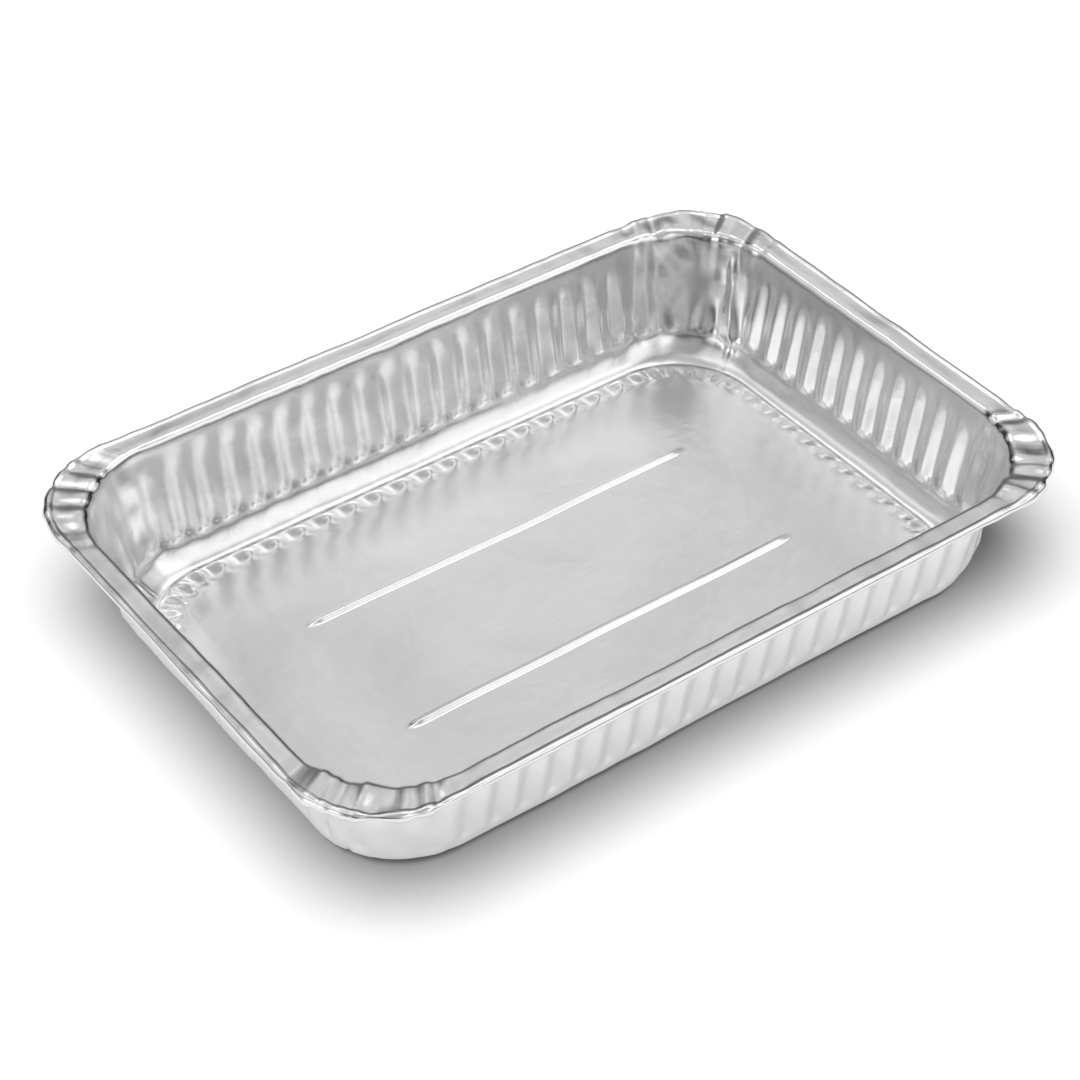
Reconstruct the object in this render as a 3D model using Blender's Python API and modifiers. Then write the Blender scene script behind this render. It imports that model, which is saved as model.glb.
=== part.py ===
"""Disposable rectangular tray, pressed from one sheet of aluminium foil.

The tray rests on a narrow heel that runs round its base. From the heel a plain bevel and then the fluted wall rise
to a flat flange with a rolled edge. Inside the heel a fluted slope rises to the floor panel, which two long ribs
stiffen.
The frame's origin is under the tray's centre, on the table: X runs along the tray, Y across it, and Z up.
Everything is in metres. A quarter of the sheet is lofted and filled, mirrored twice and given the foil's thickness.
"""

import math

import bmesh
import bpy

COLLECTION = "foil_paint_tray"
NODE = "foil_tray"

# Overall size, over the rolled edge.
LENGTH = 0.325
WIDTH = 0.226
HEIGHT = 0.0535
CORNER_RADIUS = 0.038
FOIL = 0.0001

# Rolled edge and flange. The roll's radius is that of its outer face, and the flange lies below the roll's top.
ROLL_RADIUS = 0.0016
ROLL_ANGLES = (150, 90, 40, 0, -60, -120, -175)
FLANGE_DROP = 0.0006
FLANGE_WIDTH = 0.0087
BEND_RADIUS = 0.0025

# Wall. Inset is how far a level lies inside the outer edge. The knee is where the wall meets the bevel.
WALL_TOP_RADIUS = 0.040
KNEE_INSET = 0.0183
KNEE_HEIGHT = 0.0090
HEEL_INSET = 0.0247
HEEL_RADIUS = 0.036
HEEL_WIDTH = 0.0016

# Flutes: plain foil is left above them and on the bevel, and they fade out at the corners.
FLUTE_TOP_DEPTH = 0.0075
FLUTE_FADE = 0.0030
FLUTE_HEIGHT = 0.0010
SLOPE_FLUTE_RISE = 0.0005
LONG_PITCH = 0.01186
SHORT_PITCH = 0.01154
LONG_HALF_FLUTES = 17
SHORT_HALF_FLUTES = 9
CORNER_STEPS = 8

# Floor panel and its two ribs, which run along X.
PANEL_HALF_X = 0.1290
PANEL_HALF_Y = 0.0770
PANEL_RADIUS = 0.031
PANEL_RISE = 0.0018
RIB_OFFSET = 0.0328
RIB_HALF_LENGTH = 0.0876
RIB_HALF_WIDTH = 0.0018
RIB_HEIGHT = 0.0012
RIB_END_STEPS = 4

MERGE_DISTANCE = 0.00001
SHARP_ANGLE = math.radians(25)
FOIL_COLOUR = (0.80, 0.81, 0.82, 1.0)


def clear_scene():
    for obj in list(bpy.data.objects):
        bpy.data.objects.remove(obj, do_unlink=True)


def foil_material():
    material = bpy.data.materials.new("bare_foil")
    material.use_nodes = True
    shader = material.node_tree.nodes["Principled BSDF"]
    shader.inputs["Base Color"].default_value = FOIL_COLOUR
    shader.inputs["Metallic"].default_value = 1.0
    shader.inputs["Roughness"].default_value = 0.32
    return material


def inset_level(inset, z, radius, flute=0.0, rise=0.0):
    """A level as (half length, half width, corner radius, height, flute height across the wall, flute height up)."""
    return (LENGTH / 2 - inset, WIDTH / 2 - inset, radius, z, flute, rise)


def roll_levels():
    """The rolled edge, from its free end inside the roll to where it meets the flange."""
    under_radius = ROLL_RADIUS - FOIL
    levels = []
    for degrees in reversed(ROLL_ANGLES):
        angle = math.radians(degrees)
        inset = ROLL_RADIUS - under_radius * math.cos(angle)
        z = HEIGHT - ROLL_RADIUS + under_radius * math.sin(angle)
        levels.append(inset_level(inset, z, CORNER_RADIUS - inset))
    return levels


def wall_levels():
    """The flange, its bend, and the fluted wall down to the knee."""
    flange = HEIGHT - FLANGE_DROP - FOIL
    bend_end = FLANGE_WIDTH + BEND_RADIUS
    wall_height = flange - BEND_RADIUS - KNEE_HEIGHT

    def on_wall(height):
        share = (flange - BEND_RADIUS - height) / wall_height
        inset = bend_end + share * (KNEE_INSET - bend_end)
        radius = WALL_TOP_RADIUS + share * (HEEL_RADIUS - WALL_TOP_RADIUS)
        return inset, height, radius

    roll_foot = 2 * ROLL_RADIUS
    flute_top = HEIGHT - FLUTE_TOP_DEPTH
    return [
        inset_level(roll_foot, flange, CORNER_RADIUS - roll_foot),
        inset_level(FLANGE_WIDTH, flange, WALL_TOP_RADIUS),
        inset_level(FLANGE_WIDTH + 0.7 * BEND_RADIUS, flange - 0.3 * BEND_RADIUS, WALL_TOP_RADIUS),
        inset_level(*on_wall(flange - BEND_RADIUS)),
        inset_level(*on_wall(flute_top)),
        inset_level(*on_wall(flute_top - FLUTE_FADE), FLUTE_HEIGHT),
        inset_level(*on_wall(KNEE_HEIGHT + FLUTE_FADE), FLUTE_HEIGHT),
        inset_level(*on_wall(KNEE_HEIGHT)),
    ]


def base_levels():
    """The heel that the tray rests on, and the fluted slope up to the floor panel."""
    heel_inner = HEEL_INSET + HEEL_WIDTH
    inner = inset_level(heel_inner, 0.0, HEEL_RADIUS - HEEL_WIDTH)
    panel = (PANEL_HALF_X, PANEL_HALF_Y, PANEL_RADIUS, PANEL_RISE, 0.0, 0.0)
    middle = [(a + b) / 2 for a, b in zip(inner, panel)]
    middle[5] = SLOPE_FLUTE_RISE
    return [inset_level(HEEL_INSET, 0.0, HEEL_RADIUS), inner, middle, panel]


def corner_run(half_x, half_y, radius, start_x, end_y, z):
    """Evenly spaced points along a level, from (start_x, half_y) round the corner to (half_x, end_y)."""
    first = half_x - radius - start_x
    arc = radius * math.pi / 2
    last = half_y - radius - end_y
    points = []
    for step in range(1, CORNER_STEPS):
        run = (first + arc + last) * step / CORNER_STEPS
        turn = min(max(run - first, 0.0) / radius, math.pi / 2)
        x = start_x + min(run, first) + radius * math.sin(turn)
        y = half_y - radius * (1 - math.cos(turn)) - max(run - first - arc, 0.0)
        points.append((x, y, z))
    return points


def quarter_level(half_x, half_y, radius, z, flute, rise):
    """A level's points from the plane x = 0 round the corner at +X +Y to the plane y = 0."""
    long_side = []
    for i in range(LONG_HALF_FLUTES + 1):
        swing = (-1) ** i if i < LONG_HALF_FLUTES else 0
        long_side.append((i * LONG_PITCH / 2, half_y + swing * flute, z + swing * rise))
    short_side = []
    for i in range(SHORT_HALF_FLUTES, -1, -1):
        swing = (-1) ** i if i < SHORT_HALF_FLUTES else 0
        short_side.append((half_x + swing * flute, i * SHORT_PITCH / 2, z + swing * rise))
    corner = corner_run(half_x, half_y, radius, long_side[-1][0], short_side[0][1], z)
    return long_side + corner + short_side


def add_levels(bm, levels):
    """Lofts the levels, and returns the innermost one's vertices."""
    previous = None
    for level in levels:
        current = [bm.verts.new(point) for point in quarter_level(*level)]
        if previous:
            for i in range(len(current) - 1):
                bm.faces.new((previous[i], previous[i + 1], current[i + 1], current[i]))
        previous = current
    return previous


def add_rib(bm):
    """Half of a rib, open at x = 0, and returns the vertices of its outline on the floor panel."""
    end_x = RIB_HALF_LENGTH - RIB_HALF_WIDTH
    outline = [bm.verts.new((0.0, RIB_OFFSET + RIB_HALF_WIDTH, PANEL_RISE))]
    for step in range(RIB_END_STEPS + 1):
        turn = math.pi * step / RIB_END_STEPS
        x = end_x + RIB_HALF_WIDTH * math.sin(turn)
        y = RIB_OFFSET + RIB_HALF_WIDTH * math.cos(turn)
        outline.append(bm.verts.new((x, y, PANEL_RISE)))
    outline.append(bm.verts.new((0.0, RIB_OFFSET - RIB_HALF_WIDTH, PANEL_RISE)))
    crest_height = PANEL_RISE + RIB_HEIGHT
    crest = [bm.verts.new((x, RIB_OFFSET, crest_height)) for x in (0.0, end_x)]
    bm.faces.new((outline[0], outline[1], crest[1], crest[0]))
    for a, b in zip(outline[1:-2], outline[2:-1]):
        bm.faces.new((a, b, crest[1]))
    bm.faces.new((outline[-2], outline[-1], crest[0], crest[1]))
    return outline


def fill_panel(bm, edge, outline):
    """Fills the flat panel between its edge, the planes x = 0 and y = 0, and the rib's outline."""
    centre = bm.verts.new((0.0, 0.0, PANEL_RISE))
    loop = list(edge) + [centre] + list(reversed(outline))
    edges = []
    for a, b in zip(loop, loop[1:] + loop[:1]):
        edges.append(bm.edges.get((a, b)) or bm.edges.new((a, b)))
    bmesh.ops.triangle_fill(bm, use_beauty=True, edges=edges, normal=(0, 0, -1))


def tray_mesh():
    bm = bmesh.new()
    edge = add_levels(bm, roll_levels() + wall_levels() + base_levels())
    outline = add_rib(bm)
    fill_panel(bm, edge, outline)
    bmesh.ops.recalc_face_normals(bm, faces=bm.faces)
    floor = min(bm.faces, key=lambda face: face.calc_center_median().length)
    if floor.normal.z > 0:
        bmesh.ops.reverse_faces(bm, faces=bm.faces)
    mesh = bpy.data.meshes.new(NODE)
    bm.to_mesh(mesh)
    bm.free()
    return mesh


def add_tray(collection):
    """The sheet's own faces look down and out, so the foil's thickness is added above and inside them."""
    tray = bpy.data.objects.new(NODE, tray_mesh())
    collection.objects.link(tray)
    tray.data.materials.append(foil_material())
    mirror = tray.modifiers.new("both_ways", "MIRROR")
    mirror.use_axis = (True, True, False)
    mirror.use_mirror_merge = True
    mirror.merge_threshold = MERGE_DISTANCE
    thickness = tray.modifiers.new("foil", "SOLIDIFY")
    thickness.thickness = FOIL
    thickness.offset = -1.0
    thickness.use_even_offset = True
    tray.data.shade_smooth()
    tray.data.set_sharp_from_angle(angle=SHARP_ANGLE)
    return tray


def main():
    clear_scene()
    collection = bpy.data.collections.new(COLLECTION)
    bpy.context.scene.collection.children.link(collection)
    add_tray(collection)


main()
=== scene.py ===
"""The foil tray's looks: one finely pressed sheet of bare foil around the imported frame, in a soft studio.

The sheet is a lofted grid. Its levels run from the free end of the rolled edge, over the flange, down the
wall and across the heel to the floor panel; its columns run round the tray. Flutes, pleats and waves move the
grid's points. Inside the panel's edge, bands of half as many columns lead to a straight grid, which holds the
two ribs.
Lengths are in metres and angles in degrees, with X along the tray, Y across it and Z up.
"""

import math
from collections import namedtuple

import bpy
import numpy as np
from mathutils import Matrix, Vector


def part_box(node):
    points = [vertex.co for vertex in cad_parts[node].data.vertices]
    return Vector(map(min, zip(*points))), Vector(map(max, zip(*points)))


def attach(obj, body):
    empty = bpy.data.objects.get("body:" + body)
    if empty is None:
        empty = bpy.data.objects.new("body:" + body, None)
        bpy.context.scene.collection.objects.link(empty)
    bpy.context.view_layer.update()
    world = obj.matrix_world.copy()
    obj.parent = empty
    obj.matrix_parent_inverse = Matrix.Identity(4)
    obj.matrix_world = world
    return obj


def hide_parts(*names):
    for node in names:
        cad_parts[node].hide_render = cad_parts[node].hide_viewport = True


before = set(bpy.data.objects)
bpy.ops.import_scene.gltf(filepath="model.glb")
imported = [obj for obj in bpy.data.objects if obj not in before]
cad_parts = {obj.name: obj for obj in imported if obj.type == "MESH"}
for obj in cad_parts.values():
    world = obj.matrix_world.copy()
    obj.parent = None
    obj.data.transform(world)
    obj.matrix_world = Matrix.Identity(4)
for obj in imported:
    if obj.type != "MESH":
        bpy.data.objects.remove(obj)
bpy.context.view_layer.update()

NODE = "foil_tray"
PIECE = "pressed_foil_tray"

# A level: half sizes, corner radius, height, and the flutes' height across the wall and upwards.
Level = namedtuple("Level", "half_x half_y radius z across up")
Wave = namedtuple("Wave", "length height seed")

# Overall size, from the frame.
LOW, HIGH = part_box(NODE)
HALF_X = (HIGH.x - LOW.x) / 2
HALF_Y = (HIGH.y - LOW.y) / 2
HEIGHT = HIGH.z - LOW.z
FOIL = 0.0001

# Rolled edge, flange and bend, which match the frame's solid. Inset is how far a level lies inside the outer
# edge, and the flange's levels lie at these shares of its flat.
CORNER_RADIUS = 0.038
ROLL_RADIUS = 0.0016
ROLL_START = -185
ROLL_END = 140
FLANGE_DROP = 0.0006
FLANGE_START = 0.0034
FLANGE_WIDTH = 0.0087
FLANGE_SHARES = (0.0, 0.25, 0.6, 1.0)
BEND_RADIUS = 0.0025

# Wall, the bevel under its knee, and heel. Knee pull is how far the bevel's curve keeps the wall's slope.
WALL_TOP_RADIUS = 0.040
KNEE_INSET = 0.0183
KNEE_HEIGHT = 0.0090
KNEE_PULL = 0.0030
HEEL_INSET = 0.0247
HEEL_RADIUS = 0.036
HEEL_WIDTH = 0.0016
HEEL_LIP = 0.0005

# Floor panel. Its straight grid starts some way inside its edge, after bands that take up the round corners.
# Its waves and dome fade out towards the edge, over the edge share of the bands.
PANEL_HALF_X = 0.1290
PANEL_HALF_Y = 0.0770
PANEL_RADIUS = 0.031
PANEL_RISE = 0.0018
PANEL_DOME = 0.0003
PANEL_GRID_INSET = 0.011
PANEL_BANDS = 5
PANEL_EDGE_SHARE = 0.8

# The panel's ribs, and how much closer the grid's rows are on them, over how many half widths.
RIB_OFFSET = 0.0328
RIB_HALF_LENGTH = 0.0876
RIB_HALF_WIDTH = 0.0019
RIB_HEIGHT = 0.0012
RIB_FADE = 0.005
RIB_ROWS_GAIN = 5.0
RIB_ROWS_SPREAD = 1.3

# Flutes. Each deepens down the wall and ends in a round toe above the knee. The short sides' flutes are
# shifted along Y by a share of their pitch. A fullness below 1 makes the slope's flutes fuller than a sine.
LONG_PITCH = 0.01186
SHORT_PITCH = 0.01154
LONG_HALF_FLUTES = 17
SHORT_HALF_FLUTES = 9
CORNER_FLUTES = 6
SHORT_SHIFT = 0.30
FLUTE_TOP_DEPTH = 0.0060
FLUTE_FADE = 0.0090
FLUTE_TOE = 0.0040
FLUTE_HEIGHT_TOP = 0.0006
FLUTE_HEIGHT_FOOT = 0.0012
FLUTE_SHARPNESS = 0.90
SLOPE_FLUTE_HEIGHT = 0.0008
SLOPE_FLUTE_FULLNESS = 0.7

# In mid corner the wall's flutes fade in between these heights, to a share of their height on the sides, and
# the slope's flutes lose a share of theirs.
CORNER_FADE_TOP = 0.034
CORNER_FADE_FOOT = 0.012
CORNER_SHARE_ON_WALL = 0.5
CORNER_LOSS_ON_SLOPE = 0.3

# Pleats that gather the corners. Places, widths and leans are shares of the way round the corner, and reaches
# are shares of the way down the wall.
PLEATS_PER_CORNER = 20
PLEAT_SEED = 11
PLEAT_PLACES = (0.05, 0.95)
PLEAT_STRAY = 0.02
PLEAT_HEIGHT = 0.0006
PLEAT_LEAST_SHARE = 0.4
PLEAT_REACHES = (0.15, 0.2, 0.3, 0.45, 0.7, 1.0)
PLEAT_WIDTHS = (0.013, 0.026)
PLEAT_LEAN = 0.04

# Pleats and wrinkles reach their full height at these values of corner, which is 0 on the sides and 1 in mid
# corner.
PLEATS_FULL = 0.5
WRINKLES_FULL = 0.4

# One long crease in each corner, which deepens over the first stretch of the wall.
CREASE_PLACES = (0.68, 0.30, 0.62, 0.38)
CREASE_WIDTH = 0.016
CREASE_LEAN = 0.06
CREASE_DEPTH = 0.0008
CREASE_START = (0.06, 0.2)

# Waves left by the press, whose lengths vary by the spread. The walls' wrinkles grow towards the corners, and
# the panel's streaks run along X. The walls' waves start above the heel, so that it stays flat.
WAVE_SPREAD = (0.7, 1.5)
WALL_DRIFT = Wave(0.060, 0.00018, 12)
WALL_SWELL = Wave(0.024, 0.00008, 13)
WALL_WRINKLES = Wave(0.012, 0.00005, 16)
CORNER_WRINKLE_GAIN = 3.4
HEEL_CLEARANCE = 0.006
PANEL_DRIFT = Wave(0.070, 0.00022, 28)
PANEL_SWELL = Wave(0.026, 0.00003, 15)
PANEL_STREAKS = Wave(0.014, 0.000008, 17)
STREAK_STRETCH = (0.2, 1.0, 1.0)

# Columns to each half flute and across each corner.
STEPS_PER_HALF_FLUTE = 5
CORNER_STEPS = 62
LONG_STEPS = LONG_HALF_FLUTES * STEPS_PER_HALF_FLUTE
SHORT_STEPS = SHORT_HALF_FLUTES * STEPS_PER_HALF_FLUTE
QUARTER_STEPS = LONG_STEPS + CORNER_STEPS + SHORT_STEPS

# The mirror signs of the four quarters, in the order that the columns pass them.
QUARTERS = ((1, 1), (1, -1), (-1, -1), (-1, 1))

# Foil. A bump is its strength and distance.
ROUGHNESS = (0.17, 0.27)
DARK_FOIL = (0.86, 0.862, 0.866, 1)
PALE_FOIL = (0.92, 0.922, 0.925, 1)
GRAIN_STRETCH = (40.0, 2200.0, 2200.0)
GRAIN_NOISE = {"Scale": 1.0, "Detail": 2.0}
GRAIN_BUMP = (0.05, 0.00004)
CREASE_NOISE = {"Scale": 130.0, "Detail": 3.0, "Roughness": 0.45, "Distortion": 0.6}
CREASE_BUMP = (0.30, 0.0004)

# Floor. Reflections see the given share of it as it is lit, and the rest as an even glow.
FLOOR_HALF = 3.0
FLOOR_TONE = 0.22
FLOOR_ROUGHNESS = 0.9
FLOOR_GLOW = 0.85
LIT_SHARE_IN_REFLECTIONS = 0.5

# Studio. A soft light is its direction (azimuth from +X towards +Y, and elevation), half width and strength.
# The rows near, near_left, near_right, right_near and far_right_high are an optimiser's output. The rows
# left_low, far, near_left_high and top keep the directions it was given. The other rows were set one by one.
WHITE = (1, 1, 1, 1)
SOFT_LIGHTS = {
    "left_low": ((180, 4), 34, 0.25),
    "left": ((180, 18), 24, 1.25),
    "far_left": ((140, 26), 30, 0.50),
    "far": ((60, 20), 34, 0.15),
    "near": ((270, 20), 34, 0.73),
    "near_high": ((275, 50), 20, 0.20),
    "near_left": ((240, 36), 34, 0.26),
    "near_right": ((300, 36), 34, 0.65),
    "right_near": ((330, 36), 34, 0.75),
    "far_right_high": ((45, 53), 34, 0.57),
    "far_left_high": ((122, 50), 26, 0.60),
    "left_high": ((168, 56), 24, 0.85),
    "near_left_high": ((225, 53), 34, 0.20),
    "right_top": ((4, 64), 20, 1.20),
    "far_top": ((84, 58), 14, 1.20),
    "top": ((0, 90), 34, 0.50),
    "panel_glint": ((54, 39), 8, 0.235),
}

# The light that only the floor receives. It leans from straight above by these angles towards +X and +Y.
OVERHEAD_ANGLE = 50
OVERHEAD_LEAN = (-15, -11)
OVERHEAD_STRENGTH = 13.4

# Camera: its direction from the target (azimuth from -Y towards +X, and elevation), and its lens and sensor
# in millimetres.
CAMERA_TARGET = (-0.0064, 0.0, 0.025)
CAMERA_AZIMUTH = -36.35
CAMERA_ELEVATION = 40.34
CAMERA_DISTANCE = 1.0066
CAMERA_LENS = 91.2
CAMERA_SENSOR = 36.0
CAMERA_CLIP = (0.05, 20.0)


def smooth(edge0, edge1, value):
    """0 at edge0 and before it, 1 at edge1 and beyond, and an even S between them."""
    t = np.clip((value - edge0) / (edge1 - edge0), 0.0, 1.0)
    return t * t * (3 - 2 * t)


def waves(points, wave, count=14):
    """Smooth seeded noise of about the wave's height: plane waves of about its length in all directions."""
    rng = np.random.default_rng(wave.seed)
    total = np.zeros(points.shape[:-1])
    for _ in range(count):
        direction = rng.normal(size=3)
        direction /= np.linalg.norm(direction)
        length = wave.length * rng.uniform(*WAVE_SPREAD)
        total += np.sin(points @ direction * 2 * math.pi / length + rng.uniform(0, 2 * math.pi))
    return total * math.sqrt(2 / count) * wave.height


# ---------------------------------------------------------------- the plain sheet's levels

def level(inset, z, radius, across=0.0):
    """A level that lies that far inside the outer edge."""
    return Level(HALF_X - inset, HALF_Y - inset, radius, z, across, 0.0)


def curve(start, control, end, count):
    """Points after start on the quadratic curve that leaves start and reaches end along lines to control."""
    start, control, end = np.array(start), np.array(control), np.array(end)
    points = []
    for k in range(1, count + 1):
        t = k / count
        points.append((1 - t) ** 2 * start + 2 * t * (1 - t) * control + t * t * end)
    return points


def flange_height():
    """The height of the flange's under face."""
    return HEIGHT - FLANGE_DROP - FOIL


def wall_top():
    """The wall's upper end as (inset, height)."""
    return FLANGE_WIDTH + BEND_RADIUS, flange_height() - BEND_RADIUS


def wall_lean():
    """How far the wall comes in for each metre down."""
    top_inset, top_z = wall_top()
    return (KNEE_INSET - top_inset) / (top_z - KNEE_HEIGHT)


def roll_levels(steps=9):
    """The rolled edge from its free end, round under the edge, to its inner side."""
    radius = ROLL_RADIUS - FOIL
    rows = []
    for k in range(steps + 1):
        angle = math.radians(ROLL_START + (ROLL_END - ROLL_START) * k / steps)
        inset = ROLL_RADIUS - radius * math.cos(angle)
        rows.append(level(inset, HEIGHT - ROLL_RADIUS + radius * math.sin(angle), CORNER_RADIUS - inset))
    return rows


def flange_levels():
    rows = []
    start_radius = CORNER_RADIUS - FLANGE_START
    for share in FLANGE_SHARES:
        inset = FLANGE_START + share * (FLANGE_WIDTH - FLANGE_START)
        radius = start_radius + share * (WALL_TOP_RADIUS - start_radius)
        rows.append(level(inset, flange_height(), radius))
    return rows


def bend_levels(steps=3):
    """The quarter turn from the flange to the wall."""
    top_inset, top_z = wall_top()
    control = (top_inset - wall_lean() * BEND_RADIUS, flange_height())
    points = curve((FLANGE_WIDTH, flange_height()), control, (top_inset, top_z), steps)
    return [level(inset, z, WALL_TOP_RADIUS) for inset, z in points]


def flute_height(z):
    """The flutes' height across the wall at a level."""
    depth = HEIGHT - z
    full = smooth(FLUTE_TOP_DEPTH, FLUTE_TOP_DEPTH + FLUTE_FADE, depth)
    toe = smooth(KNEE_HEIGHT, KNEE_HEIGHT + FLUTE_TOE, z)
    share = np.clip((depth - FLUTE_TOP_DEPTH) / (HEIGHT - FLUTE_TOP_DEPTH - KNEE_HEIGHT), 0, 1)
    return float(full * toe * (FLUTE_HEIGHT_TOP + share * (FLUTE_HEIGHT_FOOT - FLUTE_HEIGHT_TOP)))


def wall_levels(fade_steps=3, middle_steps=7, toe_steps=4):
    """The wall down to the knee, with most levels where the flutes begin and end."""
    top_inset, top_z = wall_top()
    flute_top = HEIGHT - FLUTE_TOP_DEPTH
    heights = [(top_z + flute_top) / 2]
    heights += list(np.linspace(flute_top, flute_top - FLUTE_FADE, fade_steps + 1))
    heights += list(np.linspace(flute_top - FLUTE_FADE, KNEE_HEIGHT + FLUTE_TOE, middle_steps + 1)[1:])
    heights += list(np.linspace(KNEE_HEIGHT + FLUTE_TOE, KNEE_HEIGHT, toe_steps + 1)[1:])
    rows = []
    for z in heights:
        inset = top_inset + wall_lean() * (top_z - z)
        share = (top_z - z) / (top_z - KNEE_HEIGHT)
        radius = WALL_TOP_RADIUS + share * (HEEL_RADIUS - WALL_TOP_RADIUS)
        rows.append(level(inset, z, radius, flute_height(z)))
    return rows


def bevel_levels(steps=4):
    """The plain band under the knee, which curves in to the heel's outer crease."""
    control = (KNEE_INSET + wall_lean() * KNEE_PULL, KNEE_HEIGHT - KNEE_PULL)
    points = curve((KNEE_INSET, KNEE_HEIGHT), control, (HEEL_INSET, 0.0), steps)
    return [level(inset, z, HEEL_RADIUS) for inset, z in points]


def slope_levels(steps=7):
    """The heel's inner crease and lip, and the fluted slope up to the panel's edge."""
    inner = HEEL_INSET + HEEL_WIDTH
    inner_radius = HEEL_RADIUS - HEEL_WIDTH
    lip = level(inner + HEEL_LIP, HEEL_LIP, inner_radius - HEEL_LIP)
    rows = [level(inner, 0.0, inner_radius), lip]
    for k in range(1, steps + 1):
        t = k / steps
        half_x = lip.half_x + t * (PANEL_HALF_X - lip.half_x)
        half_y = lip.half_y + t * (PANEL_HALF_Y - lip.half_y)
        radius = lip.radius + t * (PANEL_RADIUS - lip.radius)
        z = HEEL_LIP + (PANEL_RISE - HEEL_LIP) * math.sin(t * math.pi / 2)
        up = SLOPE_FLUTE_HEIGHT * math.sin(math.pi * t) ** SLOPE_FLUTE_FULLNESS if k < steps else 0.0
        rows.append(Level(half_x, half_y, radius, z, 0.0, up))
    return rows


# ---------------------------------------------------------------- the columns round the tray

def corner_points(half_x, half_y, radius, start_x, end_y):
    """Evenly spaced points along a level from (start_x, half_y) round the corner to (half_x, end_y)."""
    first = half_x - radius - start_x
    arc = radius * math.pi / 2
    last = half_y - radius - end_y
    run = (first + arc + last) * np.arange(1, CORNER_STEPS) / CORNER_STEPS
    turn = np.clip((run - first) / radius, 0.0, math.pi / 2)
    x = start_x + np.minimum(run, first) + radius * np.sin(turn)
    y = half_y - radius * (1 - np.cos(turn)) - np.maximum(run - first - arc, 0.0)
    return np.stack([x, y], axis=1)


def quarter_outline(half_x, half_y, radius):
    """A level's columns from the plane x = 0 to the plane y = 0, both included."""
    long_x = np.arange(LONG_STEPS + 1) * LONG_PITCH / 2 / STEPS_PER_HALF_FLUTE
    short_y = np.arange(SHORT_STEPS, -1, -1) * SHORT_PITCH / 2 / STEPS_PER_HALF_FLUTE
    long_side = np.stack([long_x, np.full_like(long_x, half_y)], axis=1)
    short_side = np.stack([np.full_like(short_y, half_x), short_y], axis=1)
    corner = corner_points(half_x, half_y, radius, long_x[-1], short_y[0])
    return np.concatenate([long_side, corner, short_side])


def all_round(quarters):
    """Joins the quarters' points or numbers into the whole way round.

    Each runs from the plane x = 0 to the plane y = 0. Every second one is passed backwards, and a column that
    two quarters share is kept once."""
    return np.concatenate([part[:-1] if k % 2 == 0 else part[:0:-1] for k, part in enumerate(quarters)])


def flute_wave():
    """The flutes' wave round the tray, from -1 to 1: nearly flat flanks with rounded ridges."""
    step = math.pi / STEPS_PER_HALF_FLUTE
    across_corner = np.arange(1, CORNER_STEPS) / CORNER_STEPS
    turns = (LONG_HALF_FLUTES + SHORT_HALF_FLUTES + 2 * CORNER_FLUTES) * math.pi
    long_phase = np.arange(LONG_STEPS + 1) * step
    quarters = []
    for _, sign_y in QUARTERS:
        short_phase = sign_y * SHORT_SHIFT * 2 * math.pi - np.arange(SHORT_STEPS, -1, -1) * step
        corner_phase = long_phase[-1] + (short_phase[0] + turns - long_phase[-1]) * across_corner
        phase = np.concatenate([long_phase, corner_phase, short_phase])
        quarters.append(np.arcsin(FLUTE_SHARPNESS * np.cos(phase)) / math.asin(FLUTE_SHARPNESS))
    return all_round(quarters)


def corner_place():
    """Where each column is in its corner: 0 up to the end of the long side, and 1 from the short side on."""
    inside = np.arange(1, CORNER_STEPS) / CORNER_STEPS
    quarter = np.concatenate([np.zeros(LONG_STEPS + 1), inside, np.ones(SHORT_STEPS + 1)])
    return all_round([quarter] * len(QUARTERS))


# ---------------------------------------------------------------- pressing

def plain_sheet(rows):
    """The levels' points before anything is pressed into them, as a grid of shape (levels, columns, 3)."""
    outlines = [quarter_outline(row.half_x, row.half_y, row.radius) for row in rows]
    flat = np.array([all_round([outline * signs for signs in QUARTERS]) for outline in outlines])
    height = np.array([row.z for row in rows])
    return np.concatenate([flat, np.broadcast_to(height[:, None, None], flat.shape[:2] + (1,))], axis=2)


def sheet_normals(points):
    """Unit normals of a closed grid of shape (levels, columns, 3), pointing up and inwards."""
    along = np.roll(points, -1, axis=1) - np.roll(points, 1, axis=1)
    across = np.gradient(points, axis=0)
    normal = np.cross(along, across)
    normal /= np.linalg.norm(normal, axis=2, keepdims=True) + 1e-12
    return normal


def wall_outward(rows, normal):
    """The level direction straight out of each column, taken low on the wall."""
    knee = next(k for k, row in enumerate(rows) if abs(row.z - KNEE_HEIGHT) < 1e-9)
    outward = -normal[knee - 2]
    outward[:, 2] = 0
    return outward / (np.linalg.norm(outward, axis=1, keepdims=True) + 1e-9)


def press_flutes(points, rows, normal, corner):
    """Moves the wall's points in and out and the slope's up and down.

    corner is 1 in mid corner and 0 on the sides."""
    wave = flute_wave()
    share_left = CORNER_SHARE_ON_WALL * smooth(CORNER_FADE_TOP, CORNER_FADE_FOOT, points[:, :, 2])
    across = np.array([row.across for row in rows])[:, None] * wave[None, :]
    across *= 1 - corner[None, :] * (1 - share_left)
    up = np.array([row.up for row in rows])[:, None] * wave[None, :]
    up *= 1 - CORNER_LOSS_ON_SLOPE * corner[None, :]
    pressed = points + across[:, :, None] * wall_outward(rows, normal)[None, :, :]
    pressed[:, :, 2] += up
    return pressed


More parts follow.
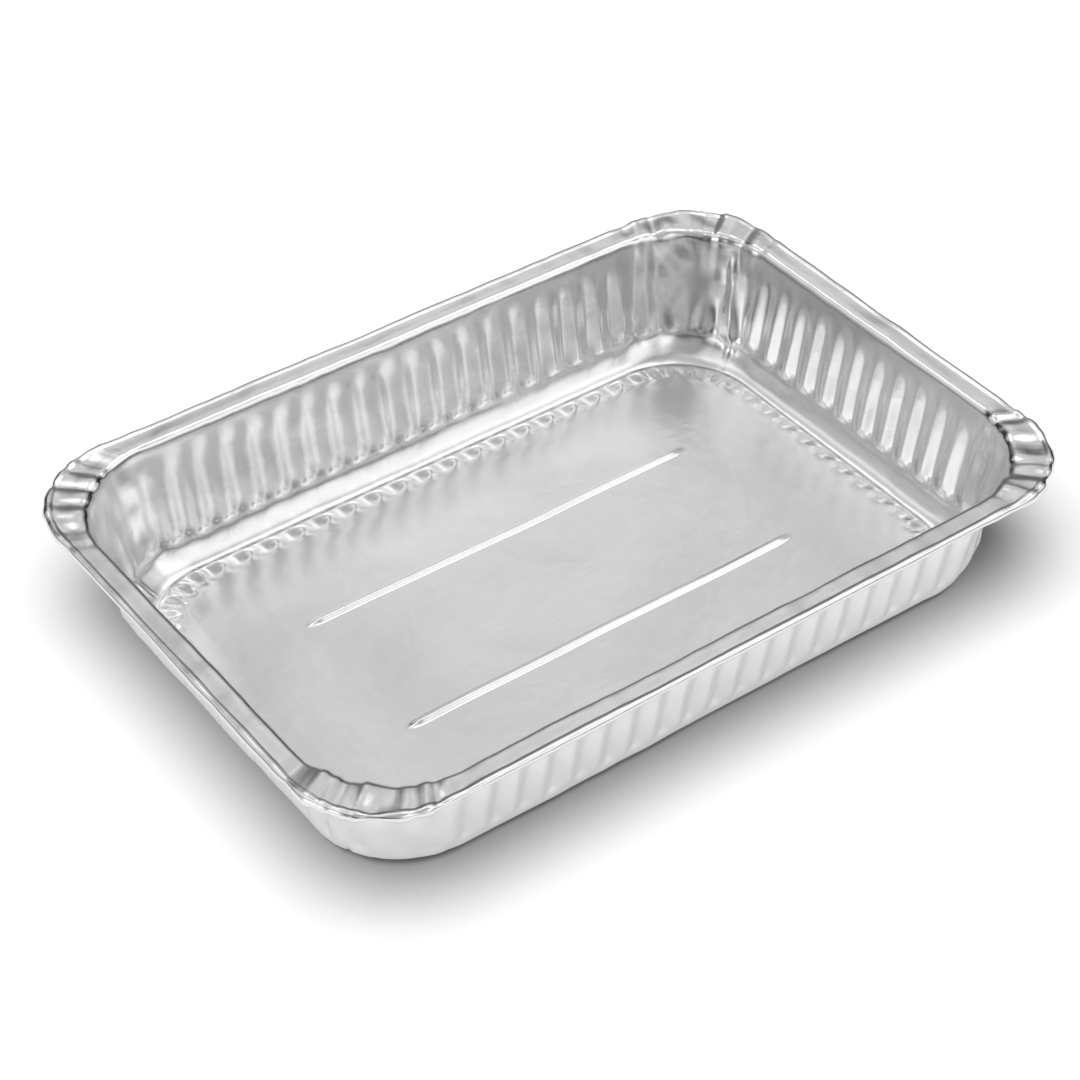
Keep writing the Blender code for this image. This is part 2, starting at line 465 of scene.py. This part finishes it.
def corner_pleats(place, run):
    """Narrow folds that gather the spare foil in each corner: a height for each level and column.

    place is corner_place(), and run is how far down the wall each level is: 0 at the rim, 1 at the knee."""
    rng = np.random.default_rng(PLEAT_SEED)
    total = np.zeros((len(run), len(place)))

    def fold(columns, centre, width, heights, lean):
        offset = (place[columns][None, :] - centre - lean * run[:, None]) / width
        total[:, columns] += heights[:, None] * np.exp(-offset ** 2)

    for corner, crease_place in enumerate(CREASE_PLACES):
        columns = np.arange(len(place)) // QUARTER_STEPS == corner
        for centre in np.linspace(*PLEAT_PLACES, PLEATS_PER_CORNER):
            centre += rng.uniform(-PLEAT_STRAY, PLEAT_STRAY)
            height = PLEAT_HEIGHT * rng.uniform(PLEAT_LEAST_SHARE, 1.0) * rng.choice((-1, 1))
            heights = height * np.exp(-(run / rng.choice(PLEAT_REACHES)) ** 2)
            width = rng.uniform(*PLEAT_WIDTHS)
            fold(columns, centre, width, heights, rng.uniform(-PLEAT_LEAN, PLEAT_LEAN))
        fold(columns, crease_place, CREASE_WIDTH, -CREASE_DEPTH * smooth(*CREASE_START, run), CREASE_LEAN)
    return total


def press_marks(points, rows, normal, place, corner):
    """Adds the corners' pleats and the whole sheet's slow waves, each less than a millimetre high."""
    height = np.array([row.z for row in rows])
    run = np.clip((HEIGHT - height) / (HEIGHT - KNEE_HEIGHT), 0, 1)
    pleats = corner_pleats(place, run) * smooth(0.0, PLEATS_FULL, corner)[None, :]
    wrinkle_gain = 1 + CORNER_WRINKLE_GAIN * smooth(0.0, WRINKLES_FULL, corner)
    wrinkles = waves(points, WALL_WRINKLES) * wrinkle_gain[None, :]
    drift = waves(points, WALL_DRIFT) + waves(points, WALL_SWELL)
    off_heel = smooth(0.0, HEEL_CLEARANCE, points[:, :, 2])
    return points + ((pleats + drift + wrinkles) * off_heel)[:, :, None] * normal


def press_sheet():
    """The walls' grid of points, from the roll's free end to the panel's edge."""
    rows = roll_levels() + flange_levels() + bend_levels() + wall_levels() + bevel_levels() + slope_levels()
    plain = plain_sheet(rows)
    normal = sheet_normals(plain)
    place = corner_place()
    corner = np.sin(math.pi * place) ** 2
    fluted = press_flutes(plain, rows, normal, corner)
    return press_marks(fluted, rows, normal, place, corner)


# ---------------------------------------------------------------- the floor panel

def rib_height(x, y):
    """The two ribs' height above the panel."""
    nearest = np.abs(np.abs(y) - RIB_OFFSET)
    profile = smooth(0, 1, 1 - nearest / RIB_HALF_WIDTH)
    ends = 1 - smooth(RIB_HALF_LENGTH - RIB_FADE, RIB_HALF_LENGTH, np.abs(x))
    return RIB_HEIGHT * profile * ends


def panel_height(x, y, edge_share):
    """The panel's height: its rise, ribs, dome and waves. edge_share is 1 at its edge and 0 well inside."""
    flat = np.stack([x, y, np.zeros_like(x)], axis=-1)
    across_x = np.cos(np.clip(x / PANEL_HALF_X, -1, 1) * math.pi / 2)
    across_y = np.cos(np.clip(y / PANEL_HALF_Y, -1, 1) * math.pi / 2)
    dome = PANEL_DOME * across_x * across_y
    streaks = waves(flat * np.array(STREAK_STRETCH), PANEL_STREAKS)
    undulation = waves(flat, PANEL_DRIFT) + waves(flat, PANEL_SWELL) + streaks
    return PANEL_RISE + rib_height(x, y) + (dome + undulation) * (1 - edge_share)


def rib_rows(half, count, samples=2000):
    """Row positions across the panel from 0 to half, with most of them on the rib."""
    y = np.linspace(0, half, samples)
    density = 1 + RIB_ROWS_GAIN * np.exp(-(((y - RIB_OFFSET) / (RIB_ROWS_SPREAD * RIB_HALF_WIDTH)) ** 2))
    total = np.cumsum(density)
    return np.interp(np.linspace(total[0], total[-1], count + 1), total, y)


def panel_axes():
    """The straight grid's x and y positions. Its border has half as many points as the panel's edge."""
    across_x = (LONG_STEPS + CORNER_STEPS // 2) // 2
    across_y = (SHORT_STEPS + CORNER_STEPS // 2) // 2
    x_half = np.linspace(0, PANEL_HALF_X - PANEL_GRID_INSET, across_x + 1)
    y_half = rib_rows(PANEL_HALF_Y - PANEL_GRID_INSET, across_y)
    return [np.concatenate([-half[:0:-1], half]) for half in (x_half, y_half)]


def grid_border(n_x, n_y):
    """The grid's border as (row, column), in the ring's order: clockwise from the middle of the far side."""
    middle = n_x // 2
    border = [(n_y - 1, k) for k in range(middle, n_x - 1)]
    border += [(k, n_x - 1) for k in range(n_y - 1, 0, -1)]
    border += [(0, k) for k in range(n_x - 1, 0, -1)]
    border += [(k, 0) for k in range(n_y - 1)]
    border += [(n_y - 1, k) for k in range(middle)]
    return np.array(border)


def halving_faces(columns, inner):
    """Triangles from a ring of points 0 to columns - 1 to a loop of half as many points."""
    faces = []
    for k in range(len(inner)):
        a, b, c = 2 * k, 2 * k + 1, (2 * k + 2) % columns
        p, q = inner[k], inner[(k + 1) % len(inner)]
        faces += [(a, b, p), (b, c, q), (b, q, p)]
    return faces


def band_faces(loops):
    """Quads between each closed loop of point indices and the next one, which has as many points."""
    faces = []
    for upper, lower in zip(loops, loops[1:]):
        for k in range(len(upper)):
            j = (k + 1) % len(upper)
            faces.append((upper[k], upper[j], lower[j], lower[k]))
    return faces


def grid_faces(start, n_x, n_y):
    """Quads of a grid with n_y rows of n_x points, the first of which is point start."""
    faces = []
    for row in range(n_y - 1):
        for column in range(n_x - 1):
            a = start + row * n_x + column
            faces.append((a, a + n_x, a + n_x + 1, a + 1))
    return faces


def build_floor(ring):
    """Points and faces inside the panel's edge: bands of half as many columns, then a grid with the ribs.

    ring holds the panel edge's points. Returned face indices count from the ring's first point."""
    xs, ys = panel_axes()
    n_x, n_y = len(xs), len(ys)
    border = grid_border(n_x, n_y)
    inner = np.stack([xs[border[:, 1]], ys[border[:, 0]]], axis=1)
    outer = ring[::2, :2]
    points = []
    loops = []
    start = len(ring)
    for k in range(1, PANEL_BANDS):
        share = k / PANEL_BANDS
        flat = outer * (1 - share) + inner * share
        z = panel_height(flat[:, 0], flat[:, 1], 1 - smooth(0.0, PANEL_EDGE_SHARE, share))
        points.append(np.column_stack([flat, z]))
        loops.append(start + np.arange(len(outer)))
        start += len(outer)
    grid_x, grid_y = np.meshgrid(xs, ys)
    z = panel_height(grid_x, grid_y, 0.0)
    points.append(np.column_stack([grid_x.ravel(), grid_y.ravel(), z.ravel()]))
    loops.append(start + border[:, 0] * n_x + border[:, 1])
    faces = halving_faces(len(ring), loops[0]) + band_faces(loops) + grid_faces(start, n_x, n_y)
    return np.concatenate(points), faces


def build_tray():
    """The whole sheet as one mesh. Its faces look down and out, and its thickness is added inside them."""
    walls = press_sheet()
    n_levels, columns = walls.shape[:2]
    ring_start = (n_levels - 1) * columns
    floor_points, floor_faces = build_floor(walls[-1])
    faces = band_faces([k * columns + np.arange(columns) for k in range(n_levels)])
    faces += [[index + ring_start for index in face] for face in floor_faces]
    faces = [[int(index) for index in face] for face in faces]
    points = np.concatenate([walls.reshape(-1, 3), floor_points])

    mesh = bpy.data.meshes.new(PIECE)
    mesh.from_pydata(points.tolist(), [], faces)
    mesh.validate()
    tray = bpy.data.objects.new(PIECE, mesh)
    bpy.context.scene.collection.objects.link(tray)
    mesh.shade_smooth()
    thickness = tray.modifiers.new("foil", "SOLIDIFY")
    thickness.thickness = FOIL
    thickness.offset = -1.0
    return tray


# ---------------------------------------------------------------- material

def add_noise(nodes, links, place, settings):
    """A noise texture with those inputs, read at place."""
    noise = nodes.new("ShaderNodeTexNoise")
    for name, value in settings.items():
        noise.inputs[name].default_value = value
    links.new(place, noise.inputs["Vector"])
    return noise.outputs["Fac"]


def add_bump(nodes, links, height, strength, distance):
    """A bump node fed by height."""
    bump = nodes.new("ShaderNodeBump")
    bump.inputs["Strength"].default_value = strength
    bump.inputs["Distance"].default_value = distance
    links.new(height, bump.inputs["Height"])
    return bump


def foil_material():
    """Bare aluminium with a fine rolling grain along X and shallow creases left by the press."""
    material = bpy.data.materials.new("bare_foil_fine")
    material.use_nodes = True
    nodes, links = material.node_tree.nodes, material.node_tree.links
    shader = nodes["Principled BSDF"]
    shader.inputs["Metallic"].default_value = 1.0
    place = nodes.new("ShaderNodeTexCoord").outputs["Object"]
    stretch = nodes.new("ShaderNodeMapping")
    stretch.inputs["Scale"].default_value = GRAIN_STRETCH
    links.new(place, stretch.inputs["Vector"])
    grain = add_noise(nodes, links, stretch.outputs["Vector"], GRAIN_NOISE)
    creases = add_noise(nodes, links, place, CREASE_NOISE)

    roughness = nodes.new("ShaderNodeMapRange")
    roughness.inputs["To Min"].default_value, roughness.inputs["To Max"].default_value = ROUGHNESS
    links.new(grain, roughness.inputs["Value"])
    links.new(roughness.outputs["Result"], shader.inputs["Roughness"])

    tone = nodes.new("ShaderNodeMixRGB")
    tone.inputs["Color1"].default_value = DARK_FOIL
    tone.inputs["Color2"].default_value = PALE_FOIL
    links.new(creases, tone.inputs["Fac"])
    links.new(tone.outputs["Color"], shader.inputs["Base Color"])

    fine = add_bump(nodes, links, grain, *GRAIN_BUMP)
    coarse = add_bump(nodes, links, creases, *CREASE_BUMP)
    links.new(fine.outputs["Normal"], coarse.inputs["Normal"])
    links.new(coarse.outputs["Normal"], shader.inputs["Normal"])
    return material


# ---------------------------------------------------------------- stage

def floor_material():
    """A pale matt floor. Reflections see part of it as an even glow, so shadow doesn't blacken the foil."""
    material = bpy.data.materials.new("pale_floor")
    material.use_nodes = True
    nodes, links = material.node_tree.nodes, material.node_tree.links
    matt = nodes["Principled BSDF"]
    matt.inputs["Base Color"].default_value = (FLOOR_TONE, FLOOR_TONE, FLOOR_TONE, 1)
    matt.inputs["Roughness"].default_value = FLOOR_ROUGHNESS
    matt.inputs["Specular IOR Level"].default_value = 0.0
    glow = nodes.new("ShaderNodeEmission")
    glow.inputs["Strength"].default_value = FLOOR_GLOW
    ray = nodes.new("ShaderNodeLightPath")
    lit_share = nodes.new("ShaderNodeMath")
    lit_share.operation = "MAXIMUM"
    links.new(ray.outputs["Is Camera Ray"], lit_share.inputs[0])
    lit_share.inputs[1].default_value = LIT_SHARE_IN_REFLECTIONS
    seen = nodes.new("ShaderNodeMixShader")
    links.new(lit_share.outputs["Value"], seen.inputs["Fac"])
    links.new(glow.outputs["Emission"], seen.inputs[1])
    links.new(matt.outputs["BSDF"], seen.inputs[2])
    links.new(seen.outputs["Shader"], nodes["Material Output"].inputs["Surface"])
    return material


def add_floor():
    mesh = bpy.data.meshes.new("floor")
    signs = ((-1, -1), (1, -1), (1, 1), (-1, 1))
    mesh.from_pydata([(x * FLOOR_HALF, y * FLOOR_HALF, LOW.z) for x, y in signs], [], [(0, 1, 2, 3)])
    floor = bpy.data.objects.new("floor", mesh)
    bpy.context.scene.collection.objects.link(floor)
    mesh.materials.append(floor_material())
    return floor


def soft_patch(nodes, links, direction, half_width):
    """A round patch of the dome, 1 at its middle and fading to 0 at half_width degrees from it."""
    azimuth, elevation = map(math.radians, direction)
    place = nodes.new("ShaderNodeTexCoord")
    nearness = nodes.new("ShaderNodeVectorMath")
    nearness.operation = "DOT_PRODUCT"
    nearness.inputs[1].default_value = (
        math.cos(azimuth) * math.cos(elevation),
        math.sin(azimuth) * math.cos(elevation),
        math.sin(elevation),
    )
    links.new(place.outputs["Generated"], nearness.inputs[0])
    fade = nodes.new("ShaderNodeMapRange")
    fade.interpolation_type = "SMOOTHSTEP"
    fade.inputs["From Min"].default_value = math.cos(math.radians(half_width))
    links.new(nearness.outputs["Value"], fade.inputs["Value"])
    return fade.outputs["Result"]


def add_dome():
    """The studio dome: the sum of its soft lights, behind a backdrop that the camera sees as plain white."""
    world = bpy.data.worlds.new("studio")
    bpy.context.scene.world = world
    world.use_nodes = True
    nodes, links = world.node_tree.nodes, world.node_tree.links
    light = None
    for direction, half_width, strength in SOFT_LIGHTS.values():
        add = nodes.new("ShaderNodeMath")
        add.operation = "MULTIPLY_ADD"
        links.new(soft_patch(nodes, links, direction, half_width), add.inputs[0])
        add.inputs[1].default_value = strength
        add.inputs[2].default_value = 0.0
        if light:
            links.new(light, add.inputs[2])
        light = add.outputs["Value"]
    seen = nodes.new("ShaderNodeMixRGB")
    ray = nodes.new("ShaderNodeLightPath")
    links.new(ray.outputs["Is Camera Ray"], seen.inputs["Fac"])
    links.new(light, seen.inputs["Color1"])
    seen.inputs["Color2"].default_value = WHITE
    links.new(seen.outputs["Color"], nodes["Background"].inputs["Strength"])
    nodes["Background"].inputs["Color"].default_value = WHITE


def add_floor_light(floor):
    """Soft light from nearly overhead that reaches only the floor, and throws the tray's shadow on it."""
    data = bpy.data.lights.new("overhead", "SUN")
    data.angle = math.radians(OVERHEAD_ANGLE)
    data.energy = OVERHEAD_STRENGTH
    lamp = bpy.data.objects.new("overhead", data)
    lean_x, lean_y = (math.tan(math.radians(angle)) for angle in OVERHEAD_LEAN)
    lamp.rotation_euler = Vector((lean_x, lean_y, 1.0)).to_track_quat("Z", "Y").to_euler()
    bpy.context.scene.collection.objects.link(lamp)
    only = bpy.data.collections.new("lit_by_overhead")
    only.objects.link(floor)
    lamp.light_linking.receiver_collection = only


def add_camera():
    """The camera looks down on the tray from its near left corner."""
    azimuth, elevation = math.radians(CAMERA_AZIMUTH), math.radians(CAMERA_ELEVATION)
    back = Vector((
        math.sin(azimuth) * math.cos(elevation),
        -math.cos(azimuth) * math.cos(elevation),
        math.sin(elevation),
    ))
    data = bpy.data.cameras.new("camera")
    data.sensor_width = CAMERA_SENSOR
    data.lens = CAMERA_LENS
    data.clip_start, data.clip_end = CAMERA_CLIP
    camera = bpy.data.objects.new("camera", data)
    bpy.context.scene.collection.objects.link(camera)
    camera.location = Vector(CAMERA_TARGET) + back * CAMERA_DISTANCE
    camera.rotation_euler = (-back).to_track_quat("-Z", "Y").to_euler()
    bpy.context.scene.camera = camera


tray = build_tray()
tray.data.materials.append(foil_material())
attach(tray, "root")
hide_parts(NODE)
floor = add_floor()
add_dome()
add_floor_light(floor)
add_camera()
bpy.context.scene.view_settings.view_transform = "Standard"
